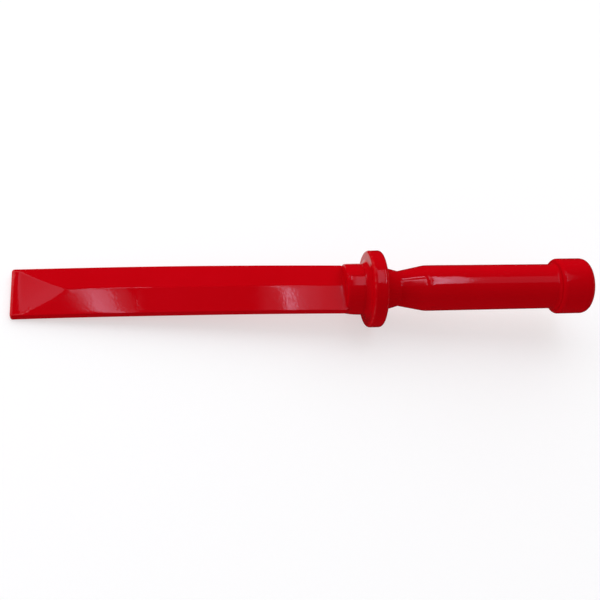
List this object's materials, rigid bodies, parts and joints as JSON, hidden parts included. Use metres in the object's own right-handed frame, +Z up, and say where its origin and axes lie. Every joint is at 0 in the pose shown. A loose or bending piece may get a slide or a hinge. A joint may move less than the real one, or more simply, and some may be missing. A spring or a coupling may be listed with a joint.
{
  "type": "hive tool",
  "caption": "Straight plastic hive tool: a flat-backed scraper blade with a low central ridge and bevelled tip, a round hand guard, a waisted round grip and a flared butt cap.",
  "frame": {"origin": "centre of the footprint at floor level, with the tool lying as it rests: on the underside of the blade's tip and on the guard's rim", "axes": "+X along the tool from the blade's tip to the butt, +Y across the blade, +Z up; the tool's own axis climbs 6.04 degrees from tip to butt and the ridge faces up"},
  "size_m": [0.2796, 0.0374, 0.0437],
  "materials": {
    "red_plastic": "glossy moulded nylon, one red throughout"
  },
  "bodies": {
    "root": {"blade": "red_plastic", "hand_guard": "red_plastic", "grip": "red_plastic", "butt_cap": "red_plastic"}
  },
  "joints": []
}
